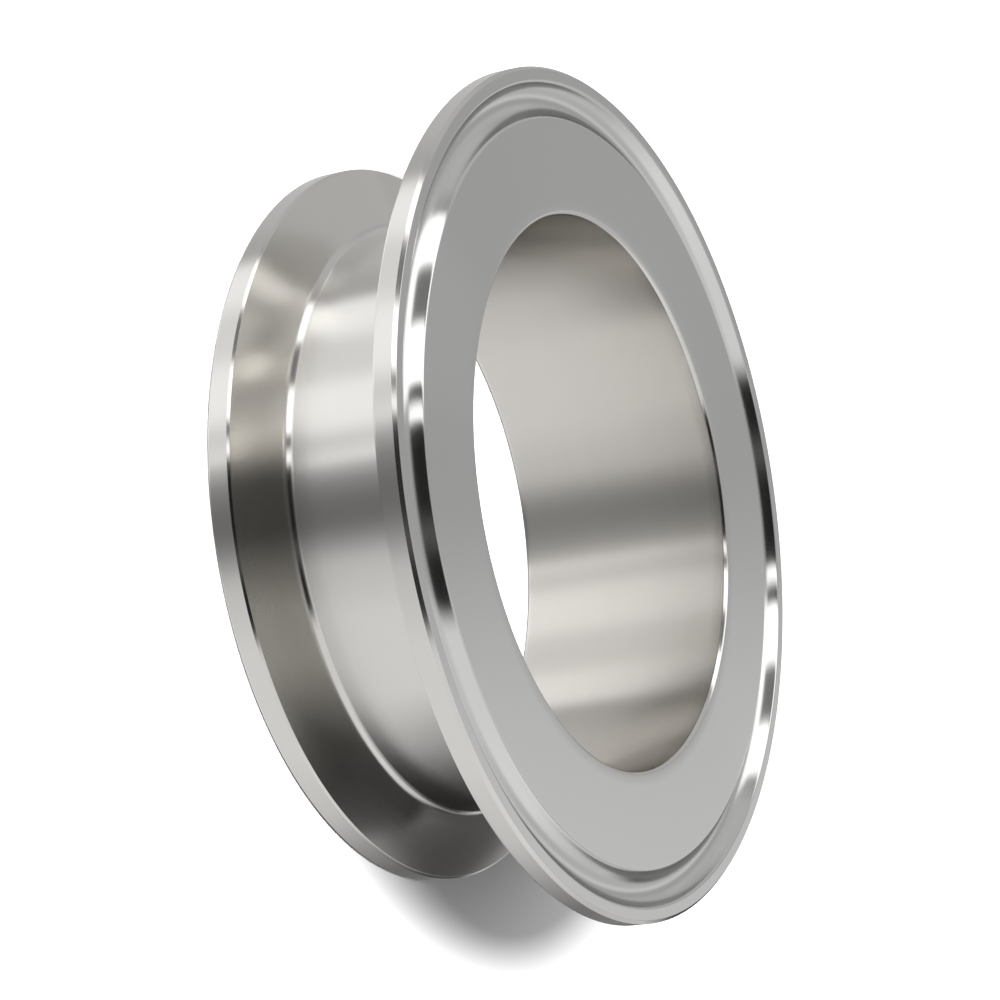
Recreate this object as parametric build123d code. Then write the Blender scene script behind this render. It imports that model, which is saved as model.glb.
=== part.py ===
from build123d import *
import os
from math import radians, sqrt, tan

# Sanitary clamp reducing cap, turned from one piece of stainless steel.
# It stands on the end face of its small flange, with its axis along +Z and its large flange on top.
# All sizes are in millimetres, and angles in degrees.

# Neck and bore
neck_diameter = 63.5
neck_wall = 2.15
overall_length = 25.5
bore_edge_break = 0.5

# Large clamp flange, at the top: a thick disc with a flat face and a bevelled back
large_flange_reach = 13.75
large_rim_width = 2.45
back_shoulder_width = 3.0
large_groove_inset = 3.55

# Small clamp flange, at the bottom: its bevel runs all the way to the neck
small_flange_reach = 7.0
small_rim_width = 2.6
small_groove_inset = 3.5

# Form shared by both flanges: the rim's edge is broken more at the end face than at the bevel
bevel_angle = 20.0
neck_fillet_radius = 1.0
rim_edge_break = 0.35
bevel_edge_break = 0.2

# Round gasket groove, the same in both faces, with its two lips broken
groove_arc_radius = 1.9
groove_depth = 1.4
groove_lip_break = 0.25

# Radii worked out from the sizes above
neck_radius = neck_diameter / 2
bore_radius = neck_radius - neck_wall
large_flange_radius = neck_radius + large_flange_reach
small_flange_radius = neck_radius + small_flange_reach
back_shoulder_radius = neck_radius + back_shoulder_width
large_groove_radius = large_flange_radius - large_groove_inset
small_groove_radius = small_flange_radius - small_groove_inset

# Heights along the axis, from the end face of the small flange
bevel_slope = tan(radians(bevel_angle))
small_bevel_top = small_rim_width + small_flange_reach * bevel_slope
large_rim_bottom = overall_length - large_rim_width
back_shoulder_height = large_rim_bottom - (large_flange_reach - back_shoulder_width) * bevel_slope


def corners_at(section, places):
    """Corners of the section that lie at the given radii and heights."""
    spots = [Vector(radius, height) for radius, height in places]
    return [corner for corner in section.vertices() if min((Vector(corner) - spot).length for spot in spots) < 1e-4]


def turned_outline():
    """Half section of the ungrooved blank, with its sharp edges broken by chamfers and its neck filleted."""
    rim_corners = [
        (small_flange_radius, 0),
        (large_flange_radius, overall_length),
    ]
    bevel_corners = [
        (small_flange_radius, small_rim_width),
        (large_flange_radius, large_rim_bottom),
    ]
    neck_corners = [
        (neck_radius, small_bevel_top),
        (neck_radius, back_shoulder_height),
    ]
    bore_corners = [
        (bore_radius, 0),
        (bore_radius, overall_length),
    ]
    outline = Polyline(
        bore_corners[0],
        rim_corners[0],
        bevel_corners[0],
        neck_corners[0],
        neck_corners[1],
        (back_shoulder_radius, back_shoulder_height),
        bevel_corners[1],
        rim_corners[1],
        bore_corners[1],
        close=True,
    )
    section = make_face(outline)
    section = chamfer(corners_at(section, rim_corners), rim_edge_break)
    section = chamfer(corners_at(section, bevel_corners), bevel_edge_break)
    section = chamfer(corners_at(section, bore_corners), bore_edge_break)
    return fillet(corners_at(section, neck_corners), neck_fillet_radius)


def with_groove(section, radius, face_height, outward):
    """Cut a gasket groove into one end face and break its lips. outward is 1 at the top and -1 at the bottom."""
    centre_height = face_height + outward * (groove_arc_radius - groove_depth)
    section = section - Pos(radius, centre_height) * Circle(groove_arc_radius)
    half_mouth = sqrt(groove_depth * (2 * groove_arc_radius - groove_depth))
    lips = [(radius - half_mouth, face_height), (radius + half_mouth, face_height)]
    return chamfer(corners_at(section, lips), groove_lip_break)


def make_reducing_cap():
    """The whole fitting, turned about its own axis."""
    section = turned_outline()
    section = with_groove(section, large_groove_radius, overall_length, 1)
    section = with_groove(section, small_groove_radius, 0, -1)
    return revolve(Plane.XZ * section, Axis.Z, 360)


os.makedirs("parts", exist_ok=True)
export_step(make_reducing_cap(), "parts/reducing_cap.step")
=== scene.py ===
"""Sanitary clamp reducing cap, turned from stainless steel.

The script builds the cap's finished surfaces, the studio round it and the photograph's camera.
"""

import logging
import math
from dataclasses import dataclass, field
from enum import Enum

import bpy
from mathutils import Matrix, Vector


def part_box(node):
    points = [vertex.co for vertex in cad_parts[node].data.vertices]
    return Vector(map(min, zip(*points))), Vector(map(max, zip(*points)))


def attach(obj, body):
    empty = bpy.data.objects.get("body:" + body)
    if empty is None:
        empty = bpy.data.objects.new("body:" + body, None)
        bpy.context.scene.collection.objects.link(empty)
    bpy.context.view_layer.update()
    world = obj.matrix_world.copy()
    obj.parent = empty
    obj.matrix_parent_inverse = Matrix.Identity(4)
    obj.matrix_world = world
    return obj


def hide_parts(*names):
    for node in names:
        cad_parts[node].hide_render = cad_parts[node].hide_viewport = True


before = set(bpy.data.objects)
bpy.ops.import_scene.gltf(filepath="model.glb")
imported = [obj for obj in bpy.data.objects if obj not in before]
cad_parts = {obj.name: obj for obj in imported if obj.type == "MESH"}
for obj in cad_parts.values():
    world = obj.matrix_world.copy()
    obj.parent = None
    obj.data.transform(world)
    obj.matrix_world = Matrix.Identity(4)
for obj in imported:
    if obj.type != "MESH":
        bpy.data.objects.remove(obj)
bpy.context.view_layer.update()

LOG = logging.getLogger("reducing_cap")
MM = 0.001
NODE = "reducing_cap"
WHITE = "FFFFFF"

# Height of the photograph's camera over the floor, in degrees.
CAMERA_ELEVATION = 26.87

# A stage card is a unit square until it is scaled, so its edges lie this far from its middle.
UNIT_EDGE = 0.5

# The Mix node's two colour inputs and its colour output, whose names it also uses for other kinds.
MIX_A, MIX_B, MIX_RESULT = 6, 7, 2

# A radius and a height on the half section, in millimetres.
Point = tuple[float, float]


def linear(hex_colour: str) -> tuple[float, float, float, float]:
    """Turn an sRGB hex colour into the linear colour that a shader takes.

    Args:
        hex_colour: Six hex digits, such as "C8C6C2".

    Returns:
        Red, green, blue and an alpha of one.
    """
    channels = [int(hex_colour[start:start + 2], 16) / 255 for start in (0, 2, 4)]
    # The sRGB curve has a short straight foot, and a power above it.
    red, green, blue = (
        c / 12.92 if c <= 0.04045 else ((c + 0.055) / 1.055) ** 2.4 for c in channels
    )
    return red, green, blue, 1.0


def add_node(
    tree: bpy.types.NodeTree, kind: str, inputs: dict | None = None, **settings
) -> bpy.types.Node:
    """Add a shader node with its settings, and give its inputs their values and links.

    Args:
        tree: The node tree that the node goes into.
        kind: The node's type name, without the leading "ShaderNode".
        inputs: For each input's name or number, a value or another node's output socket.
        **settings: Attributes of the node itself.

    Returns:
        The new node.
    """
    node = tree.nodes.new("ShaderNode" + kind)
    for name, value in settings.items():
        setattr(node, name, value)
    for name, value in (inputs or {}).items():
        if isinstance(value, bpy.types.NodeSocket):
            tree.links.new(value, node.inputs[name])
        else:
            node.inputs[name].default_value = value
    return node


def blank_material(name: str) -> bpy.types.Material:
    """Make a material whose node tree is still empty.

    Args:
        name: The material's name.

    Returns:
        The new material.
    """
    material = bpy.data.materials.new(name)
    material.use_nodes = True
    material.node_tree.nodes.clear()
    return material


def show_to_steel_alone(piece: bpy.types.Object) -> None:
    """Hide a stage piece from all but the rays that the steel mirrors.

    Args:
        piece: The stage piece.
    """
    piece.visible_camera = False
    piece.visible_diffuse = False
    piece.visible_transmission = False
    piece.visible_shadow = False


@dataclass(frozen=True)
class SteelFinish:
    """Austenitic stainless steel, 304 or 316, as one tool or wheel left it.

    The metal is a warm light grey. Each finish differs in how rough it is, how much more it spreads
    light across its turning lines than along them, and how coarse those lines are. The spacing and
    the depth of the lines are in millimetres. Real feed marks are 0.05 to 0.1 mm apart, finer than
    a pixel of the picture, so all of them are drawn three to five times coarser. The streak is the
    share by which the roughness differs from line to line, and the line turn is the quarter turn
    that lays the spread across lines that run round the Z axis.
    """

    name: str
    roughness: float
    anisotropy: float
    line_spacing: float = 0.30
    line_depth: float = 0.0001
    streak: float = 0.03
    colour: str = "CBC9C6"
    noise_detail: float = 3.0
    noise_roughness: float = 0.6
    noise_reach: tuple[float, float] = (0.3, 0.7)
    line_turn: float = 0.25

    def build(self) -> bpy.types.Material:
        """Make the finish's material.

        Returns:
            The material, with turning lines that run round the Z axis.
        """
        material = blank_material(self.name)
        tree = material.node_tree
        place = add_node(tree, "TexCoord").outputs["Object"]
        axes = add_node(tree, "SeparateXYZ", {0: place})
        across = add_node(tree, "CombineXYZ", {"X": axes.outputs["X"], "Y": axes.outputs["Y"]})
        radius = add_node(tree, "VectorMath", {0: across.outputs[0]}, operation="LENGTH")
        section = add_node(
            tree, "CombineXYZ", {"X": radius.outputs["Value"], "Y": axes.outputs["Z"]}
        )
        # The noise reads radius and height alone, so it draws rings. Its cells are two lines wide.
        lines = add_node(
            tree,
            "TexNoise",
            {
                "Vector": section.outputs[0],
                "Scale": 1 / (2 * self.line_spacing * MM),
                "Detail": self.noise_detail,
                "Roughness": self.noise_roughness,
            },
            noise_dimensions="2D",
        )
        uneven = add_node(
            tree,
            "MapRange",
            {
                "Value": lines.outputs["Fac"],
                "From Min": self.noise_reach[0],
                "From Max": self.noise_reach[1],
                "To Min": self.roughness * (1 - self.streak),
                "To Max": self.roughness * (1 + self.streak),
            },
        )
        bump = add_node(
            tree,
            "Bump",
            {"Height": lines.outputs["Fac"], "Strength": 1.0, "Distance": self.line_depth * MM},
        )
        steel = add_node(
            tree,
            "BsdfPrincipled",
            {
                "Base Color": linear(self.colour),
                "Metallic": 1.0,
                "Roughness": uneven.outputs["Result"],
                "Anisotropic": self.anisotropy,
                "Anisotropic Rotation": self.line_turn,
                "Normal": bump.outputs["Normal"],
            },
        )
        add_node(tree, "OutputMaterial", {"Surface": steel.outputs[0]})
        return material


class Finish(Enum):
    """The finishes on the cap."""

    # Faced with a fine feed: the calm, even grey of the two end faces.
    FACED = SteelFinish(
        name="stainless_steel_faced_satin",
        roughness=0.19,
        anisotropy=0.90,
        line_spacing=0.25,
        colour="C9C9C8",
    )
    # Turned and lightly buffed: light and dark bars along the axis, on the neck and on both rims.
    TURNED = SteelFinish(
        name="stainless_steel_fine_turned",
        roughness=0.21,
        anisotropy=0.85,
    )
    # Turned finer: the bevelled backs, which mirror each other and the neck in blurred bands.
    BEVELLED = SteelFinish(
        name="stainless_steel_fine_turned_bevel",
        roughness=0.15,
        anisotropy=0.97,
        colour="CBC9C5",
    )
    # Bored with a longer tool: the warmest and softest bars, inside the bore.
    BORED = SteelFinish(
        name="stainless_steel_bored_wall",
        roughness=0.25,
        anisotropy=0.90,
        colour="CAC7C2",
    )
    # Polished with a wheel for the gasket: the groove's sharp white and black reflections.
    POLISHED = SteelFinish(
        name="stainless_steel_polished_groove",
        roughness=0.16,
        anisotropy=0.95,
        line_spacing=0.40,
        streak=0.05,
        colour="CACAC8",
    )
    # Edges broken and polished: the thin bright lines between the broader surfaces.
    POLISHED_EDGE = SteelFinish(
        name="stainless_steel_polished_edge",
        roughness=0.18,
        anisotropy=0.90,
        line_spacing=0.40,
        streak=0.05,
    )


@dataclass(frozen=True)
class Band:
    """A stretch of the half section, with the finish that the tool left on it."""

    points: list[Point]
    finish: Finish


def straight(start: Point, end: Point, row: float) -> list[Point]:
    """Points along a straight stretch of the section, one for each row of faces.

    Args:
        start: First radius and height, in millimetres.
        end: Last radius and height, in millimetres.
        row: The longest that a row of faces may be, in millimetres.

    Returns:
        The points, with both ends.
    """
    rows = max(1, math.ceil(math.dist(start, end) / row))
    return [
        tuple(a + (b - a) * step / rows for a, b in zip(start, end)) for step in range(rows + 1)
    ]


def arc(centre: Point, start: Point, end: Point, turn: float) -> list[Point]:
    """Points along the shorter arc from one point to another.

    Args:
        centre: The arc's centre, as a radius and a height in millimetres.
        start: The point where it starts.
        end: The point where it ends.
        turn: The most that one row of faces may turn, in degrees.

    Returns:
        The points, with both ends.
    """
    size = math.dist(centre, start)
    first = math.atan2(start[1] - centre[1], start[0] - centre[0])
    swing = math.remainder(math.atan2(end[1] - centre[1], end[0] - centre[0]) - first, math.tau)
    rows = math.ceil(abs(math.degrees(swing)) / turn)
    angles = [first + swing * step / rows for step in range(rows + 1)]
    return [(centre[0] + size * math.cos(a), centre[1] + size * math.sin(a)) for a in angles]


def toward(start: Point, end: Point, reach: float) -> Point:
    """The point that lies a given way from start towards end."""
    share = reach / math.dist(start, end)
    return tuple(a + (b - a) * share for a, b in zip(start, end))


@dataclass
class Mesh:
    """How finely the turned surface is divided, in millimetres and degrees.

    The steps go once round the axis, a row is the most that a straight stretch's faces may measure,
    and the turns are the most that an arc's faces may turn. Edges sharper than the edge angle are
    rounded in a few rows, and points closer than the merge distance become one.
    """

    steps: int = 360
    row: float = 1.3
    turn: float = 8.0
    lip_turn: float = 18.0
    edge_rounding: float = 0.05
    edge_rows: int = 2
    edge_angle: float = 15.0
    merge: float = 0.005


@dataclass
class ClampFlange:
    """One clamp flange: a flat end face with a round gasket groove, a rim and a bevelled back.

    Sizes are in millimetres and angles in degrees. Outward is 1 where the end face looks up and -1
    where it looks down. The bevel's foot is the radius where it ends, beside the neck.
    """

    radius: float
    face_height: float
    outward: int
    rim_width: float
    groove_inset: float
    bevel_foot: float
    bevel_angle: float = 20.0
    rim_break: float = 0.35
    bevel_break: float = 0.2
    bore_break: float = 0.5
    groove_arc: float = 1.9
    groove_depth: float = 1.4
    lip_break: float = 0.25
    lip_margin: float = 0.1

    def behind(self, depth: float) -> float:
        """Height of a plane that lies the given depth behind the end face."""
        return self.face_height - self.outward * depth

    def foot(self) -> Point:
        """The point where the bevel ends, beside the neck."""
        rise = (self.radius - self.bevel_foot) * math.tan(math.radians(self.bevel_angle))
        return self.bevel_foot, self.behind(self.rim_width + rise)

    def lip(self, side: int, turn: float) -> list[Point]:
        """The rounded lip between the end face and the groove.

        Args:
            side: -1 for the lip nearer the bore and 1 for the one nearer the rim.
            turn: The most that one row of faces may turn, in degrees.

        Returns:
            The lip's points, down into the groove. They start with a narrow row of the end face,
            which keeps its shading flat.
        """
        middle = self.radius - self.groove_inset
        half_mouth = math.sqrt(self.groove_depth * (2 * self.groove_arc - self.groove_depth))
        # The lip leaves the groove's arc where the arc still has the lip's break to go.
        slope = math.asin(half_mouth / self.groove_arc) - self.lip_break / self.groove_arc
        across = half_mouth + self.lip_break - self.groove_arc * math.sin(slope)
        down = self.groove_depth - self.groove_arc * (1 - math.cos(slope))
        # The radius of an arc that starts flat on the end face and ends at that point.
        rounding = (across**2 + down**2) / (2 * down)
        start_radius = middle + side * (half_mouth + self.lip_break)
        start = (start_radius, self.face_height)
        end = (start_radius - side * across, self.behind(down))
        flat = (start_radius + side * self.lip_margin, self.face_height)
        return [flat, *arc((start_radius, self.behind(rounding)), start, end, turn)]

    def bands(self, bore_radius: float, bevel_end: Point, mesh: Mesh) -> list[Band]:
        """The flange's section, from the bore's edge out to the rim and back along the bevel.

        Args:
            bore_radius: Radius of the bore, in millimetres.
            bevel_end: The last point of the bevel.
            mesh: How finely to divide it.

        Returns:
            The flange's bands, each with its finish.
        """
        face = self.face_height
        middle = self.radius - self.groove_inset
        inner_lip = self.lip(-1, mesh.lip_turn)
        outer_lip = self.lip(1, mesh.lip_turn)[::-1]
        groove_foot = (middle, self.behind(self.groove_depth))
        centre = (middle, self.behind(self.groove_depth - self.groove_arc))
        bore_edge = (bore_radius, self.behind(self.bore_break))
        land_start = (bore_radius + self.bore_break, face)
        bore_centre = (land_start[0], bore_edge[1])
        land_end = (self.radius - self.rim_break, face)
        rim_start = (self.radius, self.behind(self.rim_break))
        back_corner = (self.radius, self.behind(self.rim_width))
        rim_end = (self.radius, self.behind(self.rim_width - self.bevel_break))
        bevel_start = toward(back_corner, bevel_end, self.bevel_break)
        return [
            Band(arc(bore_centre, bore_edge, land_start, mesh.lip_turn), Finish.POLISHED_EDGE),
            Band(straight(land_start, inner_lip[0], mesh.row), Finish.FACED),
            Band(inner_lip, Finish.POLISHED),
            Band(arc(centre, inner_lip[-1], groove_foot, mesh.turn), Finish.POLISHED),
            Band(arc(centre, groove_foot, outer_lip[0], mesh.turn), Finish.POLISHED),
            Band(outer_lip, Finish.POLISHED),
            Band(straight(outer_lip[-1], land_end, mesh.row), Finish.FACED),
            Band([land_end, rim_start], Finish.POLISHED_EDGE),
            Band(straight(rim_start, rim_end, mesh.row), Finish.TURNED),
            Band([rim_end, bevel_start], Finish.POLISHED_EDGE),
            Band(straight(bevel_start, bevel_end, mesh.row), Finish.BEVELLED),
        ]


@dataclass
class ReducingCap:
    """The whole fitting: two clamp flanges on one short neck, turned about the Z axis.

    Sizes are in millimetres.
    """

    length: float
    large_radius: float
    neck_radius: float = 31.75
    wall: float = 2.15
    small_radius: float = 38.75
    shoulder_width: float = 3.0
    neck_fillet: float = 1.0
    small_rim_width: float = 2.6
    small_groove_inset: float = 3.5
    large_rim_width: float = 2.45
    large_groove_inset: float = 3.55
    mesh: Mesh = field(default_factory=Mesh)

    def __post_init__(self) -> None:
        """Work out the bore and set the two flanges on the neck."""
        self.bore_radius = self.neck_radius - self.wall
        self.small = ClampFlange(
            radius=self.small_radius,
            face_height=0.0,
            outward=-1,
            rim_width=self.small_rim_width,
            groove_inset=self.small_groove_inset,
            bevel_foot=self.neck_radius,
        )
        self.large = ClampFlange(
            radius=self.large_radius,
            face_height=self.length,
            outward=1,
            rim_width=self.large_rim_width,
            groove_inset=self.large_groove_inset,
            bevel_foot=self.neck_radius + self.shoulder_width,
        )

    def fillet(self, corner: Point, beside: Point, along: Point) -> list[Point]:
        """The round corner between the neck and what meets it.

        Args:
            corner: The sharp corner.
            beside: A point further out on the bevel or shoulder.
            along: A point further along the neck.

        Returns:
            The arc's points, from the bevel or shoulder to the neck.
        """
        angle = math.radians(self.opening(corner, beside, along))
        reach = self.neck_fillet / math.tan(angle / 2)
        start = toward(corner, beside, reach)
        end = toward(corner, along, reach)
        centre = (corner[0] + self.neck_fillet, end[1])
        return arc(centre, start, end, self.mesh.turn)

    @staticmethod
    def opening(corner: Point, first: Point, second: Point) -> float:
        """Angle at a corner between two other points, in degrees."""
        rays = [Vector(point) - Vector(corner) for point in (first, second)]
        return math.degrees(rays[0].angle(rays[1]))

    def bands(self) -> list[Band]:
        """The whole section, both flanges, the neck between them and the wall of the bore.

        Returns:
            Every band of the section.
        """
        low_corner = self.small.foot()
        shoulder_end = self.large.foot()
        high_corner = (self.neck_radius, shoulder_end[1])
        low_back = (self.small.radius, self.small.behind(self.small.rim_width))
        low_round = self.fillet(low_corner, low_back, high_corner)
        high_round = self.fillet(high_corner, shoulder_end, low_corner)
        row = self.mesh.row
        bore_low = (self.bore_radius, self.small.bore_break)
        bore_high = (self.bore_radius, self.length - self.large.bore_break)
        return [
            *self.small.bands(self.bore_radius, low_round[0], self.mesh),
            Band(low_round, Finish.POLISHED_EDGE),
            Band(straight(low_round[-1], high_round[-1], row), Finish.TURNED),
            Band(high_round, Finish.POLISHED_EDGE),
            Band(straight(high_round[0], shoulder_end, row), Finish.BEVELLED),
            *self.large.bands(self.bore_radius, shoulder_end, self.mesh),
            Band(straight(bore_high, bore_low, row), Finish.BORED),
        ]

    def turn(self, band: Band, material: bpy.types.Material) -> bpy.types.Object:
        """Draw a band's line from a single point and spin it once round the Z axis.

        Args:
            band: The band to turn.
            material: Its finish.

        Returns:
            The turned band, an open strip at the origin.
        """
        bpy.ops.object.select_all(action="DESELECT")
        bpy.ops.mesh.primitive_plane_add(size=MM, location=(0, 0, 0))
        strip = bpy.context.object
        strip.data.materials.append(material)
        bpy.ops.object.mode_set(mode="EDIT")
        bpy.ops.mesh.select_mode(type="VERT")
        bpy.ops.mesh.select_all(action="SELECT")
        radius, height = band.points[0]
        bpy.ops.mesh.merge(type="CENTER")
        bpy.ops.transform.translate(value=(radius * MM, 0, height * MM))
        for before, after in zip(band.points[:-1], band.points[1:]):
            step = ((after[0] - before[0]) * MM, 0, (after[1] - before[1]) * MM)
            bpy.ops.mesh.extrude_vertices_move(TRANSFORM_OT_translate={"value": step})
        bpy.ops.mesh.select_all(action="SELECT")
        bpy.ops.mesh.spin(steps=self.mesh.steps, angle=math.tau, center=(0, 0, 0), axis=(0, 0, 1))
        bpy.ops.object.mode_set(mode="OBJECT")
        return strip

    def close(self, strips: list[bpy.types.Object]) -> bpy.types.Object:
        """Join the turned bands into one closed skin that faces outwards, and round its edges.

        Args:
            strips: The turned bands.

        Returns:
            The joined piece.
        """
        bpy.ops.object.select_all(action="DESELECT")
        for strip in strips:
            strip.select_set(True)
        bpy.context.view_layer.objects.active = strips[0]
        bpy.ops.object.join()
        piece = bpy.context.object
        piece.name = "turned_cap"
        bpy.ops.object.mode_set(mode="EDIT")
        bpy.ops.mesh.select_all(action="SELECT")
        bpy.ops.mesh.remove_doubles(threshold=self.mesh.merge * MM)
        bpy.ops.mesh.normals_make_consistent(inside=False)
        bpy.ops.object.mode_set(mode="OBJECT")
        bpy.ops.object.shade_smooth()
        bevel = piece.modifiers.new("edge_rounding", "BEVEL")
        bevel.width = self.mesh.edge_rounding * MM
        bevel.segments = self.mesh.edge_rows
        bevel.limit_method = "ANGLE"
        bevel.angle_limit = math.radians(self.mesh.edge_angle)
        bevel.harden_normals = True
        bpy.ops.object.modifier_apply(modifier=bevel.name)
        return piece

    def build(self) -> bpy.types.Object:
        """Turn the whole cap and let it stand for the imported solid.

        Returns:
            The finished piece.
        """
        bands = self.bands()
        materials = {finish: finish.value.build() for finish in Finish}
        piece = self.close([self.turn(band, materials[band.finish]) for band in bands])
        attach(piece, "root")
        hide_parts(NODE)
        LOG.info("%s: %d bands, %d faces", piece.name, len(bands), len(piece.data.polygons))
        return piece


@dataclass
class Floor:
    """Plain matt white paper that the cap stands on, with its soft shadow.

    For the camera alone, the paper glows a little all over, and much more inside the bore and
    beyond the cap on the -X side, where this painted light covers the cap's shadow. Each lift is
    how much it glows, and each edge is where one lift passes into the next: by the distance from
    the axis for the bore, and by X for the far side, in millimetres. The steel doesn't mirror this
    paper. It mirrors the studio's panels, which stand for the paper too. Its size and its drop
    under the cap are in metres.
    """

    size: float = 6.0
    drop: float = 0.00005
    colour: str = "F2F2F2"
    lift: float = 0.02
    # Painted light inside the bore and beyond the cap on -X, over the cap's shadow there.
    bore_painted_light: float = 0.85
    bore_edge: tuple[float, float] = (27.0, 30.0)
    far_painted_light: float = 0.80
    far_edge: tuple[float, float] = (-45.0, -15.0)

    def build(self) -> bpy.types.Object:
        """Lay the floor just under the cap.

        Returns:
            The floor, which is part of the stage.
        """
        bpy.ops.object.select_all(action="DESELECT")
        bpy.ops.mesh.primitive_plane_add(size=self.size, location=(0, 0, -self.drop))
        floor = bpy.context.object
        floor.name = "paper_floor"
        floor.visible_glossy = False
        material = blank_material("white_paper_painted_light")
        tree = material.node_tree
        path = add_node(tree, "LightPath")
        paper = add_node(tree, "BsdfDiffuse", {"Color": linear(self.colour)})
        place = add_node(tree, "TexCoord").outputs["Object"]
        # Painted light over the cap's shadow beyond the cap on the -X side.
        far = add_node(
            tree,
            "MapRange",
            {
                "Value": add_node(tree, "SeparateXYZ", {0: place}).outputs["X"],
                "From Min": self.far_edge[0] * MM,
                "From Max": self.far_edge[1] * MM,
                "To Min": self.far_painted_light,
                "To Max": self.lift,
            },
        )
        # Painted light inside the bore, where the cap shades the paper; the camera alone sees it.
        radius = add_node(tree, "VectorMath", {0: place}, operation="LENGTH")
        lift = add_node(
            tree,
            "MapRange",
            {
                "Value": radius.outputs["Value"],
                "From Min": self.bore_edge[0] * MM,
                "From Max": self.bore_edge[1] * MM,
                "To Min": self.bore_painted_light,
                "To Max": far.outputs[0],
            },
        )
        seen = add_node(
            tree,
            "Math",
            {0: path.outputs["Is Camera Ray"], 1: lift.outputs[0]},
            operation="MULTIPLY",
        )
        glow = add_node(tree, "Emission", {"Color": linear(WHITE), "Strength": seen.outputs[0]})
        both = add_node(tree, "AddShader", {0: paper.outputs[0], 1: glow.outputs[0]})
        add_node(tree, "OutputMaterial", {"Surface": both.outputs[0]})
        floor.data.materials.append(material)
        LOG.info("%s: %.1f m square", floor.name, self.size)
        return floor


@dataclass
class ShadeCard:
    """Painted shade: a dark card beside the cap, which the steel alone sees.

    It puts the cap's own shadow on the paper into the steel's reflections as painted shade, which
    darkens the lower side of the neck and bevel. Its place, width and height are in millimetres.
    The card is clear at its -Y end, grows darker towards +Y and ends softly there and at its sides.
    Each fade is a share of the card's width or height.
    """

    name: str
    place: tuple[float, float, float]
    width: float
    height: float
    start_fade: float
    end_fade: float = 0.16
    side_fade: float = 0.15
    darkest: float = 0.92
    glow: float = 0.03

    def build(self) -> bpy.types.Object:
        """Stand the card up beside the cap.

        Returns:
            The card, which is part of the stage.
        """
        bpy.ops.object.select_all(action="DESELECT")
        location = [length * MM for length in self.place]
        upright = (0, math.radians(90), 0)
        bpy.ops.mesh.primitive_plane_add(size=1, location=location, rotation=upright)
        card = bpy.context.object
        card.name = self.name
        card.scale = (self.height * MM, self.width * MM, 1)
        show_to_steel_alone(card)
        material = blank_material("painted_shade_card")
        tree = material.node_tree
        axes = add_node(tree, "SeparateXYZ", {0: add_node(tree, "TexCoord").outputs["Object"]})
        start = add_node(
            tree,
            "MapRange",
            {
                "Value": axes.outputs["Y"],
                "From Min": -UNIT_EDGE,
                "From Max": self.start_fade - UNIT_EDGE,
                "To Max": self.darkest,
            },
        )
        end = add_node(
            tree,
            "MapRange",
            {
                "Value": axes.outputs["Y"],
                "From Min": UNIT_EDGE,
                "From Max": UNIT_EDGE - self.end_fade,
            },
        )
        from_middle = add_node(tree, "Math", {0: axes.outputs["X"]}, operation="ABSOLUTE")
        sides = add_node(
            tree,
            "MapRange",
            {
                "Value": from_middle.outputs[0],
                "From Min": UNIT_EDGE,
                "From Max": UNIT_EDGE - self.side_fade,
            },
        )
        ends = add_node(
            tree, "Math", {0: start.outputs[0], 1: end.outputs[0]}, operation="MULTIPLY"
        )
        share = add_node(
            tree, "Math", {0: ends.outputs[0], 1: sides.outputs[0]}, operation="MULTIPLY"
        )
        clear = add_node(tree, "BsdfTransparent")
        # The card's faint glow is near black: painted shade where the card isn't clear.
        black = add_node(tree, "Emission", {"Color": linear(WHITE), "Strength": self.glow})
        both = add_node(
            tree, "MixShader", {0: share.outputs[0], 1: clear.outputs[0], 2: black.outputs[0]}
        )
        add_node(tree, "OutputMaterial", {"Surface": both.outputs[0]})
        card.data.materials.append(material)
        LOG.info("%s: %.0f by %.0f mm", card.name, self.width, self.height)
        return card


@dataclass
class PaintedBoreReflection:
    """A painted reflection of white paper on the bore's wall.

    It is a faint glowing disc inside the bore, which the steel alone sees. Its radius and the
    height that it lies over the floor are in millimetres, and its share is how much of it isn't
    clear.
    """

    radius: float = 29.0
    lift: float = 0.1
    corners: int = 96
    share: float = 0.16
    brightness: float = 1.0

    def build(self) -> bpy.types.Object:
        """Lay the disc on the floor, inside the bore.

        Returns:
            The disc, which is part of the stage.
        """
        bpy.ops.object.select_all(action="DESELECT")
        bpy.ops.mesh.primitive_circle_add(
            vertices=self.corners,
            radius=self.radius * MM,
            fill_type="NGON",
            location=(0, 0, self.lift * MM),
        )
        disc = bpy.context.object
        disc.name = "painted_reflection_in_bore"
        show_to_steel_alone(disc)
        material = blank_material("painted_paper_reflection")
        tree = material.node_tree
        clear = add_node(tree, "BsdfTransparent")
        # The disc glows white though it is no lamp: a painted reflection in the bore's wall.
        paper = add_node(tree, "Emission", {"Color": linear(WHITE), "Strength": self.brightness})
        both = add_node(
            tree, "MixShader", {0: self.share, 1: clear.outputs[0], 2: paper.outputs[0]}
        )
        add_node(tree, "OutputMaterial", {"Surface": both.outputs[0]})
        disc.data.materials.append(material)
        LOG.info("%s: %.0f mm across", disc.name, 2 * self.radius)
        return disc


@dataclass(frozen=True)
class Panel:
    """One panel or gap of the studio, from one azimuth to another in degrees, with its brightness.

    Azimuth 0 is the side of the cap that faces -X, and it grows towards -Y. The brightness runs
    evenly from one panel's end to the next one's start, and a panel that starts where it ends is
    only a turning point on that way.
    """

    start: float
    end: float
    brightness: float


# The slopes in degrees between which a wall fades in over the one below it, and its panels.
Wall = tuple[tuple[float, float], tuple[Panel, ...]]


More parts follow.
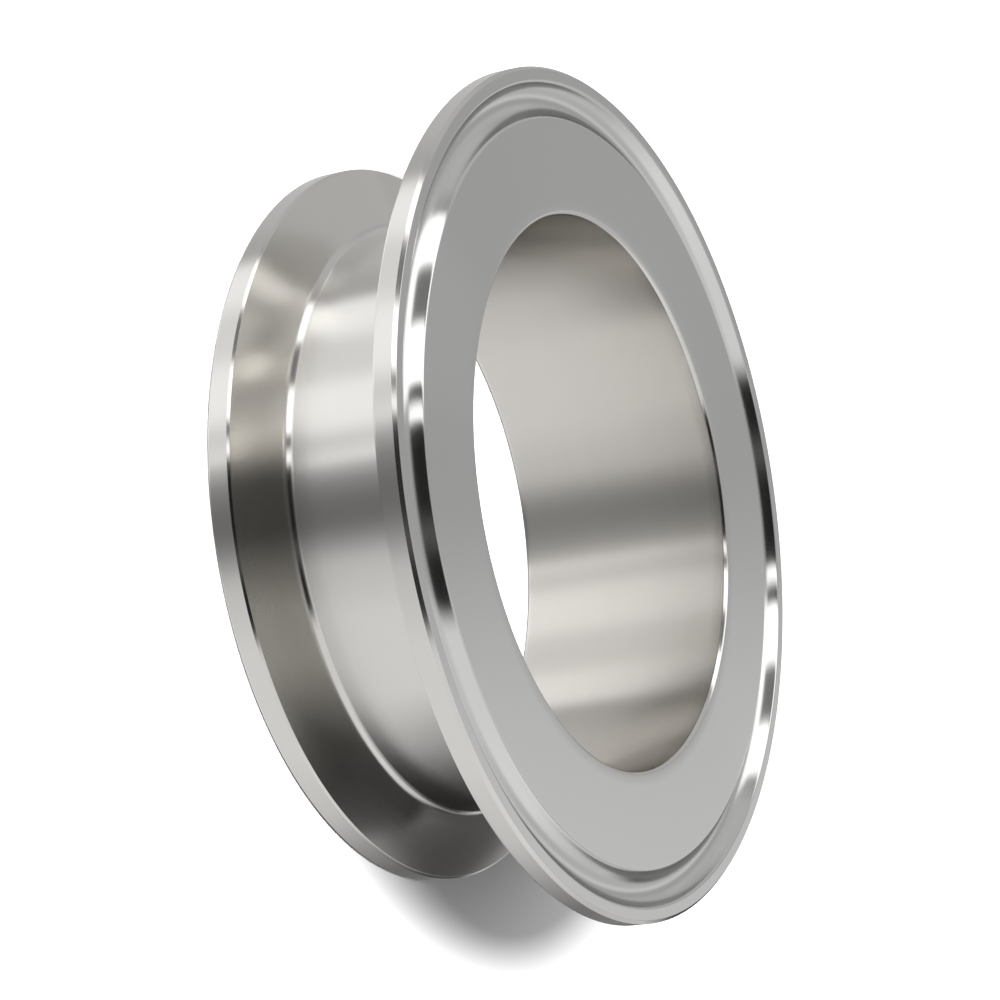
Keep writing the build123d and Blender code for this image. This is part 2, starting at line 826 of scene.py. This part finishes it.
@dataclass
class Studio:
    """The white panels and dark gaps that the steel reflects, and the light on the floor.

    A panel is placed as a photographer places it, by where its reflection falls on the steel: by
    the azimuth and the slope of the surface that mirrors it to the photograph's camera, which is
    half way between the ray and the camera. The end faces mirror the wall behind them, the feet of
    the grooves the low panels, the grooves' walls and the edges the front panels, and the rims,
    neck and bore the side panels. What two surfaces mirror in turn, such as the small flange's
    bevel and the neck, has walls of its own: a plain one within for small slopes, then the panels
    between the flanges, and those beside the cap for steep slopes. The depths are a ray's depth
    after one mirroring and after two.

    The wall behind runs from its top brightness to its bottom one as the half-way direction leans
    over: its product with behind_toward, a direction with a strength, passes through behind_reach.

    The floor has a broad light, which rises from around to overhead as the ray looks up, and one
    long soft lamp. The steel throws little of the panels' light on it. Slopes are in degrees, and
    the lamp's size and place in metres. A brightness of 1 is white.
    """

    around: float = 0.04
    overhead: float = 1.20
    thrown: float = 0.25
    overhead_rise: tuple[float, float] = (0.60, 0.95)
    low: tuple[Panel, ...] = (
        Panel(0, 38, 0.65),
        Panel(41.5, 70, 2.00),
        Panel(72, 100, 0.55),
        Panel(106, 126, 0.85),
        Panel(145, 195, 0.66),
        Panel(220, 250, 0.80),
        Panel(265, 359, 0.60),
    )
    front: tuple[Panel, ...] = (
        Panel(0, 12, 0.58),
        Panel(22, 34, 0.68),
        Panel(39.5, 39.5, 0.45),
        Panel(41.5, 49, 2.40),
        Panel(51, 59.5, 0.26),
        Panel(61, 69, 2.40),
        Panel(70, 72.8, 0.03),
        Panel(73.3, 74.9, 2.40),
        Panel(75.5, 88, 0.01),
        Panel(92, 92, 0.12),
        Panel(96, 102.5, 0.01),
        Panel(106, 118, 1.00),
        Panel(130, 140, 1.08),
        Panel(158, 200, 0.76),
        Panel(220, 250, 0.80),
        Panel(265, 320, 0.50),
        Panel(345, 359, 0.58),
    )
    side: tuple[Panel, ...] = (
        Panel(0, 30, 0.69),
        Panel(38.5, 39, 0.56),
        Panel(42, 48.5, 1.35),
        Panel(52, 58.5, 1.10),
        Panel(61.5, 69.5, 1.38),
        Panel(71.5, 74, 1.00),
        Panel(75, 76, 1.30),
        Panel(77, 77, 0.75),
        Panel(80, 80, 0.38),
        Panel(84, 88, 0.235),
        Panel(91, 91, 0.42),
        Panel(95, 95, 0.85),
        Panel(105, 124, 1.03),
        Panel(138, 138, 0.86),
        Panel(149, 149, 0.44),
        Panel(158, 166, 0.20),
        Panel(190, 359, 0.68),
    )
    between: tuple[Panel, ...] = (
        Panel(0, 28, 0.85),
        Panel(31, 40, 0.60),
        Panel(42.5, 46.5, 6.00),
        Panel(49, 53.5, 1.15),
        Panel(56.5, 59, 2.40),
        Panel(61, 67, 6.50),
        Panel(69.5, 69.5, 1.20),
        Panel(75, 75, 0.30),
        Panel(82, 88, 0.15),
        Panel(97, 97, 0.75),
        Panel(104, 119, 1.45),
        Panel(128, 128, 0.65),
        Panel(134, 134, 0.25),
        Panel(142, 200, 0.03),
        Panel(240, 330, 0.60),
        Panel(359, 359, 0.85),
    )
    beside: tuple[Panel, ...] = (
        Panel(0, 20, 0.80),
        Panel(27, 28, 0.64),
        Panel(30.5, 33.5, 2.00),
        Panel(38, 38, 0.80),
        Panel(42, 48, 1.35),
        Panel(52, 66, 1.25),
        Panel(76, 88, 0.16),
        Panel(104, 114, 0.95),
        Panel(130, 130, 0.38),
        Panel(142, 175, 0.08),
        Panel(220, 330, 0.60),
        Panel(359, 359, 0.80),
    )
    within: float = 0.35
    brightest: float = 6.5
    behind_top: float = 0.51
    behind_bottom: float = 0.88
    behind_toward: tuple[float, float, float] = (22.0, -1.5, 0.0)
    behind_reach: tuple[float, float] = (0.1, 1.9)
    low_slope: tuple[float, float] = (10.0, 18.0)
    front_slope: tuple[float, float] = (29.0, 37.0)
    side_slope: tuple[float, float] = (70.0, 86.0)
    between_slope: tuple[float, float] = (20.0, 30.0)
    beside_slope: tuple[float, float] = (64.0, 73.0)
    depths: tuple[float, float] = (2.0, 3.0)
    lamp_power: float = 7.0
    lamp_size: tuple[float, float] = (0.17, 0.30)
    lamp_place: tuple[float, float, float] = (-0.085, -0.34, 0.45)

    def ramp(
        self,
        tree: bpy.types.NodeTree,
        share: bpy.types.NodeSocket,
        panels: tuple[Panel, ...],
    ) -> bpy.types.NodeSocket:
        """Add a colour ramp that runs through a row of panels.

        Args:
            tree: The world's node tree.
            share: The azimuth, as a share of a whole turn.
            panels: The panels, in the order of their azimuths.

        Returns:
            The ramp's colour socket, as a share of the brightest panel.
        """
        node = add_node(tree, "ValToRGB", {"Fac": share})
        stops = node.color_ramp.elements
        stops.remove(stops[1])
        edges = [
            (edge, panel.brightness)
            for panel in panels
            for edge in sorted({panel.start, panel.end})
        ]
        for number, (azimuth, brightness) in enumerate(edges):
            stop = stops.new(azimuth / 360) if number else stops[0]
            stop.position = azimuth / 360
            stop.color = (brightness / self.brightest,) * 3 + (1.0,)
        return node.outputs["Color"]

    def panel_level(
        self,
        tree: bpy.types.NodeTree,
        ray: bpy.types.NodeSocket,
        depth: bpy.types.NodeSocket,
    ) -> bpy.types.NodeSocket:
        """Add the nodes that give the panels' brightness for a ray.

        Args:
            tree: The world's node tree.
            ray: The ray's direction.
            depth: The ray's depth, which is 2 after one mirroring and 3 after two.

        Returns:
            The brightness as a colour socket, as a share of the brightest panel.
        """
        tilt = math.radians(CAMERA_ELEVATION)
        to_camera = (0.0, -math.cos(tilt), math.sin(tilt))
        half_way = add_node(tree, "VectorMath", {0: ray, 1: to_camera}, operation="ADD")
        axes = add_node(tree, "SeparateXYZ", {0: half_way.outputs[0]})
        north = add_node(tree, "Math", {0: axes.outputs["X"], 1: -1.0}, operation="MULTIPLY")
        west = add_node(tree, "Math", {0: axes.outputs["Y"], 1: -1.0}, operation="MULTIPLY")
        angle = add_node(
            tree, "Math", {0: west.outputs[0], 1: north.outputs[0]}, operation="ARCTAN2"
        )
        whole = add_node(tree, "Math", {0: angle.outputs[0], 1: math.tau, 2: 0.0}, operation="WRAP")
        azimuth = add_node(tree, "Math", {0: whole.outputs[0], 1: math.tau}, operation="DIVIDE")
        across = add_node(tree, "CombineXYZ", {"X": axes.outputs["X"], "Y": axes.outputs["Y"]})
        reach = add_node(tree, "VectorMath", {0: across.outputs[0]}, operation="LENGTH")
        slope = add_node(
            tree, "Math", {0: reach.outputs["Value"], 1: axes.outputs["Z"]}, operation="ARCTAN2"
        )
        behind = add_node(
            tree,
            "VectorMath",
            {0: half_way.outputs[0], 1: self.behind_toward},
            operation="DOT_PRODUCT",
        )
        level = add_node(
            tree,
            "MapRange",
            {
                "Value": behind.outputs["Value"],
                "From Min": self.behind_reach[0],
                "From Max": self.behind_reach[1],
                "To Min": self.behind_top / self.brightest,
                "To Max": self.behind_bottom / self.brightest,
            },
        )
        once = (
            (self.low_slope, self.low),
            (self.front_slope, self.front),
            (self.side_slope, self.side),
        )
        twice = ((self.between_slope, self.between), (self.beside_slope, self.beside))
        within = (self.within / self.brightest,) * 3 + (1.0,)
        place = (azimuth.outputs[0], slope.outputs[0])
        first = self.stack(tree, *place, level.outputs[0], once)
        second = self.stack(tree, *place, within, twice)
        mirrored = add_node(
            tree,
            "MapRange",
            {"Value": depth, "From Min": self.depths[0], "From Max": self.depths[1]},
        )
        colours = {"Factor": mirrored.outputs[0], MIX_A: first, MIX_B: second}
        return add_node(tree, "Mix", colours, data_type="RGBA").outputs[MIX_RESULT]

    def stack(
        self,
        tree: bpy.types.NodeTree,
        azimuth: bpy.types.NodeSocket,
        slope: bpy.types.NodeSocket,
        level: bpy.types.NodeSocket | tuple,
        walls: tuple[Wall, ...],
    ) -> bpy.types.NodeSocket:
        """Add walls of panels one over the other, each fading in between two slopes.

        Args:
            tree: The world's node tree.
            azimuth: The azimuth, as a share of a whole turn.
            slope: The slope, in radians.
            level: The brightness under the first wall, as a socket or a colour.
            walls: The walls, from the lowest slope to the steepest.

        Returns:
            The brightness as a colour socket, as a share of the brightest panel.
        """
        for (start, end), panels in walls:
            share = add_node(
                tree,
                "MapRange",
                {"Value": slope, "From Min": math.radians(start), "From Max": math.radians(end)},
                interpolation_type="SMOOTHSTEP",
            )
            wall = self.ramp(tree, azimuth, panels)
            colours = {"Factor": share.outputs[0], MIX_A: level, MIX_B: wall}
            level = add_node(tree, "Mix", colours, data_type="RGBA").outputs[MIX_RESULT]
        return level

    def light_world(self) -> None:
        """Give the scene its surroundings: white for the camera, the panels for the steel."""
        world = bpy.data.worlds.new("panelled_studio")
        bpy.context.scene.world = world
        world.use_nodes = True
        tree = world.node_tree
        tree.nodes.clear()
        path = add_node(tree, "LightPath")
        seen = add_node(
            tree,
            "Math",
            {0: path.outputs["Is Camera Ray"], 1: path.outputs["Is Transmission Ray"]},
            operation="MAXIMUM",
        )
        ray = add_node(tree, "TexCoord").outputs["Generated"]
        soft = add_node(
            tree,
            "MapRange",
            {
                "Value": add_node(tree, "SeparateXYZ", {0: ray}).outputs["Z"],
                "From Min": self.overhead_rise[0],
                "From Max": self.overhead_rise[1],
                "To Min": self.around,
                "To Max": self.overhead,
            },
        )
        plain_level = add_node(
            tree,
            "MapRange",
            {"Value": seen.outputs[0], "To Min": soft.outputs[0], "To Max": 1.0},
        )
        plain = add_node(
            tree, "Background", {"Color": linear(WHITE), "Strength": plain_level.outputs[0]}
        )
        level = self.panel_level(tree, ray, path.outputs["Ray Depth"])
        strength = add_node(
            tree,
            "MapRange",
            {
                "Value": path.outputs["Diffuse Depth"],
                "To Min": self.brightest,
                "To Max": self.brightest * self.thrown,
            },
        )
        panels = add_node(tree, "Background", {"Color": level, "Strength": strength.outputs[0]})
        pick = add_node(
            tree,
            "MixShader",
            {0: path.outputs["Is Glossy Ray"], 1: plain.outputs[0], 2: panels.outputs[0]},
        )
        add_node(tree, "OutputWorld", {"Surface": pick.outputs[0]})

    def hang_lamp(self) -> None:
        """Set up the long soft lamp that lights the floor and gives the cap its shadow."""
        bpy.ops.object.light_add(type="AREA", location=self.lamp_place)
        lamp = bpy.context.object
        lamp.name = "floor_softbox"
        lamp.data.shape = "ELLIPSE"
        lamp.data.size, lamp.data.size_y = self.lamp_size
        lamp.data.energy = self.lamp_power
        lamp.rotation_euler = (-Vector(self.lamp_place)).to_track_quat("-Z", "Y").to_euler()
        lamp.visible_glossy = False
        lamp.visible_camera = False
        LOG.info("%s: %.1f W", lamp.name, self.lamp_power)

    def build(self) -> None:
        """Light the scene."""
        self.light_world()
        self.hang_lamp()


@dataclass
class PhotoCamera:
    """The photograph's viewpoint, rolled so that the bore's axis lies across the picture.

    The elevation and the roll are in degrees, and the lens, the distance from the large end face
    and that face's place beside the middle of the picture are in millimetres.
    """

    elevation: float = CAMERA_ELEVATION
    roll: float = 80.905
    lens: float = 122.08
    distance: float = 358.0
    right_of_middle: float = 11.613
    above_middle: float = 0.925

    def build(self, face_centre: Vector) -> bpy.types.Object:
        """Set up the camera.

        Args:
            face_centre: The centre of the large end face, in metres.

        Returns:
            The camera.
        """
        tilt = math.radians(self.elevation)
        forward = Vector((0, math.cos(tilt), -math.sin(tilt)))
        level_up = Vector((0, math.sin(tilt), math.cos(tilt)))
        rolled = Matrix.Rotation(-math.radians(self.roll), 3, forward)
        right = rolled @ Vector((1, 0, 0))
        up = rolled @ level_up
        offset = right * self.right_of_middle + up * self.above_middle + forward * self.distance
        bpy.ops.object.camera_add(location=face_centre - offset * MM)
        camera = bpy.context.object
        camera.name = "photo_camera"
        camera.rotation_mode = "QUATERNION"
        camera.rotation_quaternion = Matrix((right, up, -forward)).transposed().to_quaternion()
        camera.data.lens = self.lens
        bpy.context.scene.camera = camera
        LOG.info("%s: lens %.1f mm", camera.name, self.lens)
        return camera


def main() -> None:
    """Build the cap, its floor, its light and its camera."""
    logging.basicConfig(level=logging.INFO)
    bpy.context.scene.view_settings.view_transform = "Standard"
    low, high = (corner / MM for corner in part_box(NODE))
    ReducingCap(length=high.z - low.z, large_radius=high.x).build()
    Floor().build()
    # Two cards of painted shade, beside the neck and beside the large flange, which the steel alone
    # mirrors.
    ShadeCard(
        name="painted_shade_beside_neck",
        place=(50.0, -10.0, 1.0),
        width=70.0,
        height=16.0,
        start_fade=0.65,
    ).build()
    ShadeCard(
        name="painted_shade_beside_flange",
        place=(50.0, 30.0, 20.0),
        width=62.0,
        height=24.0,
        start_fade=0.15,
    ).build()
    # A painted reflection of white paper in the bore's wall.
    PaintedBoreReflection().build()
    Studio().build()
    PhotoCamera().build(Vector((0, 0, high.z * MM)))


if __name__ == "__main__":
    main()
